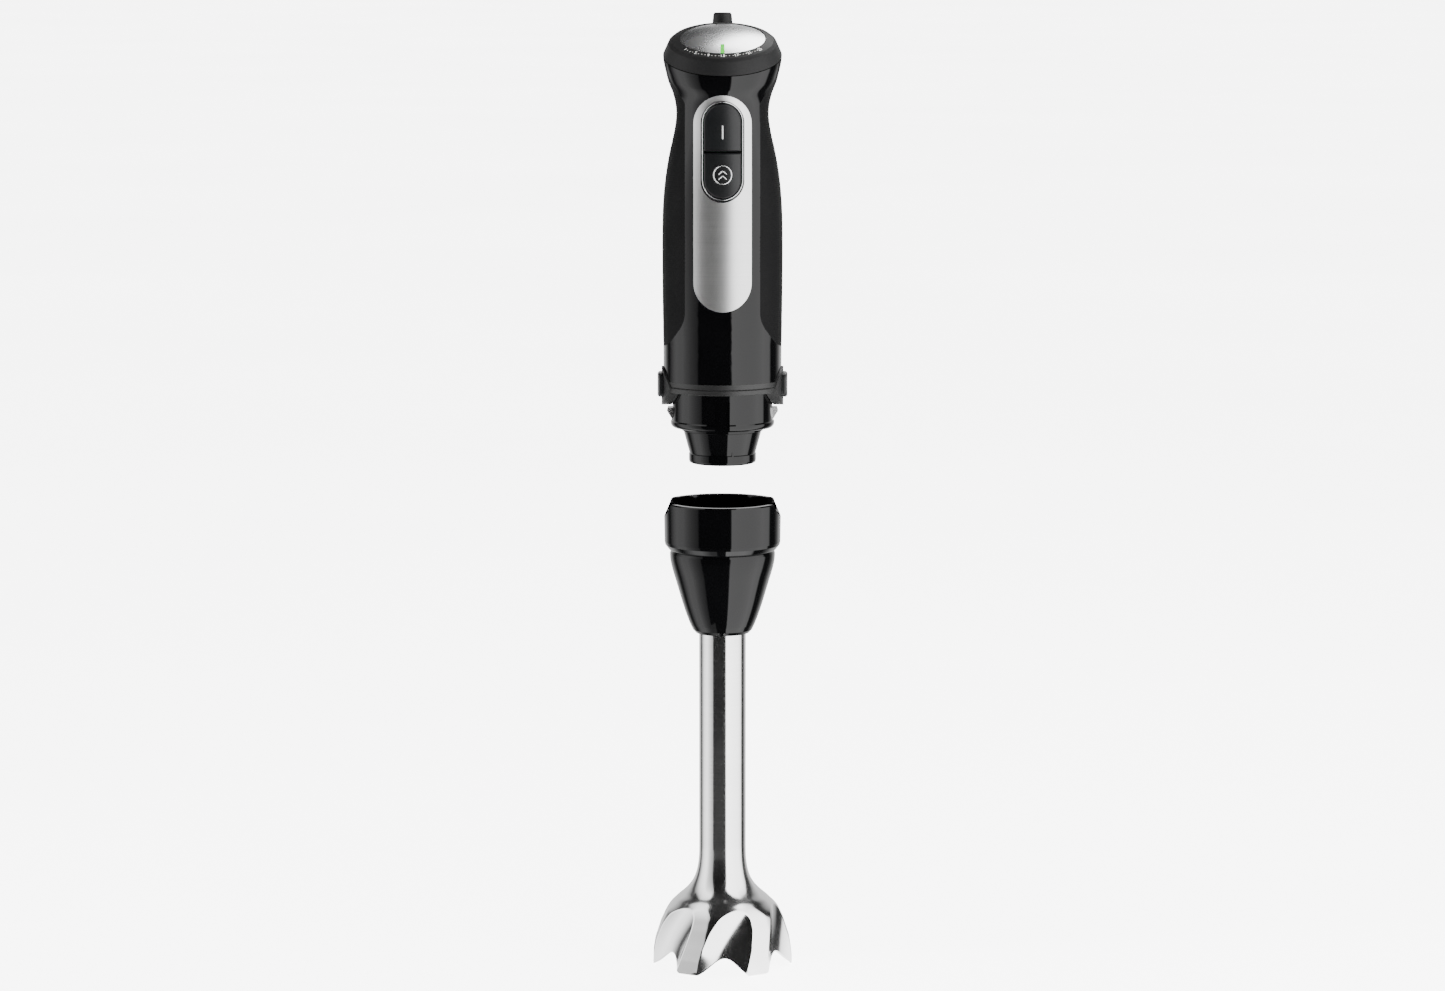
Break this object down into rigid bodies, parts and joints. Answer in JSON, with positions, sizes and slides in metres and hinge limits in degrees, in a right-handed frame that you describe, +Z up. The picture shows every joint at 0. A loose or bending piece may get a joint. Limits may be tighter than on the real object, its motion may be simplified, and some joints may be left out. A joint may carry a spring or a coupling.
{
  "type": "immersion blender",
  "caption": "Hand-held stick blender with a waisted rubber-clad motor handle, a turning speed dial, two push buttons and a clip-on steel shaft with a blade bell.",
  "frame": {"origin": "on the blender's axis at the level of the bell's feet", "axes": "+Z up the axis to the dial, -Y the front with the buttons, +X to the right seen from the front"},
  "size_m": [0.068, 0.0709, 0.4638],
  "materials": {
    "grip_rubber": "matt soft-touch rubber with fine raised dots",
    "gloss_black": "polished piano-black plastic",
    "brushed_trim": "fine brushing across the panel",
    "bezel_black": "satin black plastic with a bright inner edge",
    "button_satin": "satin moulded plastic",
    "inner_plastic": "plain moulded plastic",
    "board_green": "solder-masked board",
    "brass_parts": "machined",
    "dial_black": "matt rubberised plastic with a light printed scale",
    "cap_silver": "satin",
    "pointer_green": "moulded insert",
    "gland_rubber": "matt",
    "collar_black": "matt moulded",
    "hook_steel": "stamped",
    "spring_steel": "drawn wire",
    "seal_rubber": "matt",
    "cast_alloy": "cast",
    "bearing_steel": "ground",
    "lamination_steel": "stacked laminations",
    "copper_wire": "enamelled copper wire",
    "carbon": "pressed carbon",
    "coupling_plastic": "natural nylon",
    "capacitor_yellow": "moulded box",
    "tube_steel": "brushed round the tube",
    "bell_steel": "polished stainless steel",
    "blade_steel": "ground"
  },
  "bodies": {
    "handle": {"front_cover": "gloss_black", "rear_cover": "gloss_black", "soft_grip": "grip_rubber", "trim_panel": "brushed_trim", "button_bezel": "bezel_black", "dial_base": "inner_plastic", "dial_track": "board_green", "dial_cap": "cap_silver", "dial_pointer": "pointer_green", "cord_gland": "gland_rubber", "collar_ring": "collar_black", "coupling_nose": "gloss_black", "nose_seal": "seal_rubber", "lower_bracket": "cast_alloy", "upper_bracket": "cast_alloy", "lower_motor_mount": "seal_rubber", "upper_motor_mount": "seal_rubber", "lower_bearing": "bearing_steel", "upper_bearing": "bearing_steel", "stator_core": "lamination_steel", "field_coils": "copper_wire", "motor_screws": "spring_steel", "brush_holders": "brass_parts", "carbon_brushes": "carbon", "brush_springs": "spring_steel", "circuit_board": "board_green", "start_switch": "inner_plastic", "turbo_switch": "inner_plastic", "start_button_spring": "spring_steel", "turbo_button_spring": "spring_steel", "suppression_capacitor": "capacitor_yellow", "latch_spring_right": "spring_steel", "latch_spring_left": "spring_steel"},
    "rotor": {"motor_shaft": "bearing_steel", "armature_core": "lamination_steel", "armature_winding": "copper_wire", "upper_winding": "copper_wire", "commutator": "brass_parts", "cooling_fan": "inner_plastic", "drive_coupling": "coupling_plastic"},
    "dial": {"speed_dial": "dial_black", "dial_wiper": "brass_parts"},
    "start_button": {"start_button": "button_satin"},
    "turbo_button": {"turbo_button": "button_satin"},
    "release_right": {"release_button_right": "button_satin", "latch_hook_right": "hook_steel"},
    "release_left": {"release_button_left": "button_satin", "latch_hook_left": "hook_steel"},
    "blending_shaft": {"socket_rim": "gloss_black", "socket_housing": "gloss_black", "shaft_tube": "tube_steel", "bell_guard": "bell_steel", "upper_bush": "brass_parts", "lower_bush": "brass_parts", "shaft_seal": "seal_rubber"},
    "blade_spindle": {"spindle": "bearing_steel", "drive_dog": "coupling_plastic", "blade": "blade_steel", "blade_nut": "bearing_steel"}
  },
  "joints": [
    {"name": "shaft_detach", "type": "slide", "parent": "handle", "child": "blending_shaft", "axis": [0, 0, 1], "range_m": [0, 0.0543]},
    {"name": "motor_spin", "type": "hinge", "parent": "handle", "child": "rotor", "pos_m": [0, 0, 0.3], "axis": [0, 0, 1], "continuous": true},
    {"name": "blade_spin", "type": "hinge", "parent": "blending_shaft", "child": "blade_spindle", "pos_m": [0, 0, 0.1], "axis": [0, 0, 1], "continuous": true},
    {"name": "speed_dial_turn", "type": "hinge", "parent": "handle", "child": "dial", "pos_m": [0, 0, 0.4443], "axis": [0, -0.3173, 0.9483], "range_deg": [-51.75, 51.75]},
    {"name": "start_button_press", "type": "slide", "parent": "handle", "child": "start_button", "axis": [0, 1, 0], "range_m": [0, 0.0018], "stiffness_N_per_m": 400, "springref_m": -0.002, "deforming": ["start_button_spring"]},
    {"name": "turbo_button_press", "type": "slide", "parent": "handle", "child": "turbo_button", "axis": [0, 1, 0], "range_m": [0, 0.0018], "stiffness_N_per_m": 400, "springref_m": -0.002, "deforming": ["turbo_button_spring"]},
    {"name": "release_right_press", "type": "slide", "parent": "handle", "child": "release_right", "axis": [-1, 0, 0], "range_m": [0, 0.0022], "stiffness_N_per_m": 800, "springref_m": -0.002, "deforming": ["latch_spring_right"]},
    {"name": "release_left_press", "type": "slide", "parent": "handle", "child": "release_left", "axis": [1, 0, 0], "range_m": [0, 0.0022], "stiffness_N_per_m": 800, "springref_m": -0.002, "deforming": ["latch_spring_left"]}
  ],
  "couplings": [
    {"joint": "blade_spin", "follows": "motor_spin", "ratio": 1}
  ]
}
